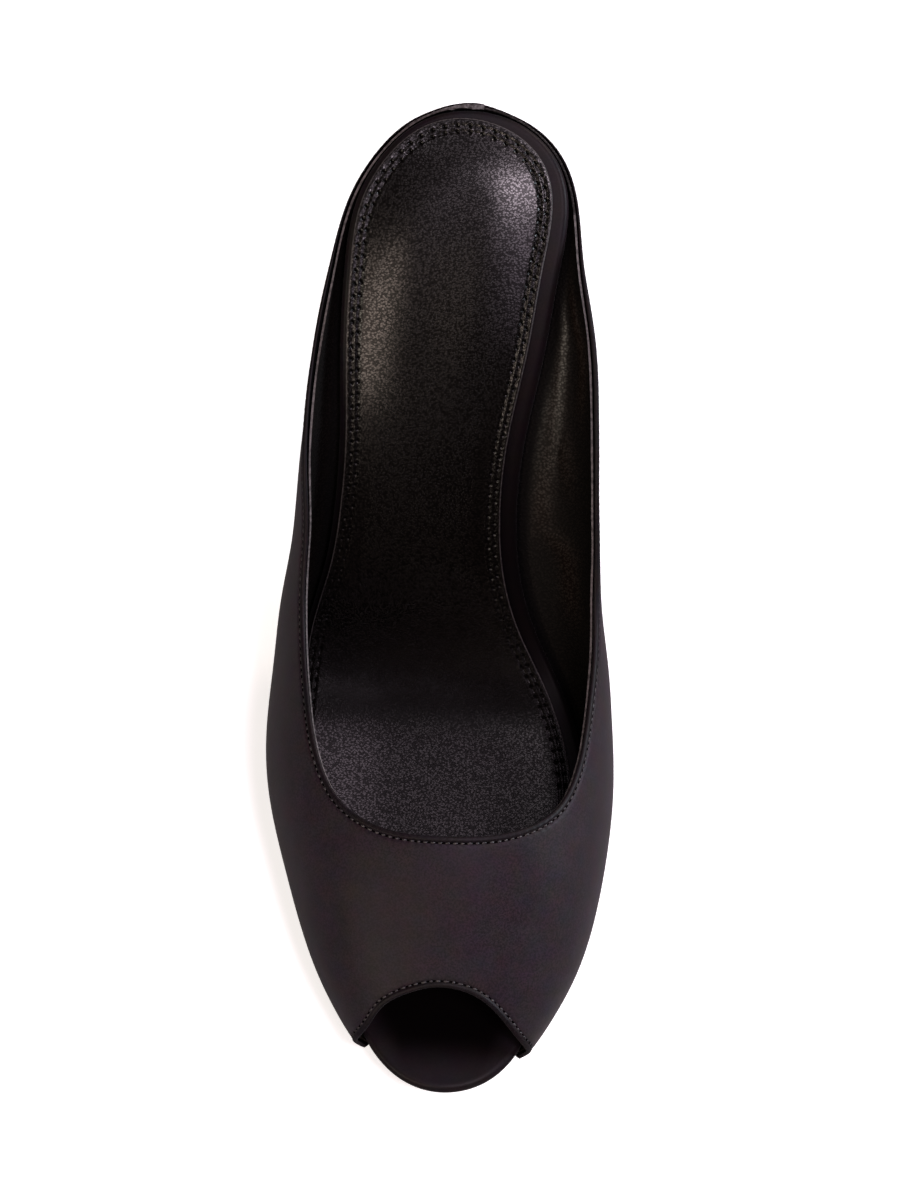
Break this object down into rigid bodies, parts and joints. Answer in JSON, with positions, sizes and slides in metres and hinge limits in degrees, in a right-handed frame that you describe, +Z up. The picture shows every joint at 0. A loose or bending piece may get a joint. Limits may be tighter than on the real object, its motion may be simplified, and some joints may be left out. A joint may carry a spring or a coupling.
{
  "type": "peep-toe mule",
  "caption": "Backless high-heeled shoe with an open toe: hollow satin upper on a wrapped insole with a leather sock, thin outsole and slim covered heel.",
  "frame": {"origin": "on the floor under the middle of the shoe's box", "axes": "+Z up, toe towards -Y, heel towards +Y, inner side of the foot towards +X"},
  "size_m": [0.0816, 0.2164, 0.0944],
  "materials": {
    "upper_satin": "matte black satin, lined with brown-black leather",
    "insole_wrap": "black satin wrapped tight over a board",
    "sock_leather": "fine-grained black leather with a soft gloss",
    "sole_leather": "smooth black sole leather",
    "heel_cover": "black satin glued over the heel",
    "lift_rubber": "matte black hard rubber"
  },
  "bodies": {
    "root": {"upper": "upper_satin", "insole": "insole_wrap", "sock": "sock_leather", "outsole": "sole_leather", "heel": "heel_cover", "top_lift": "lift_rubber"}
  },
  "joints": []
}
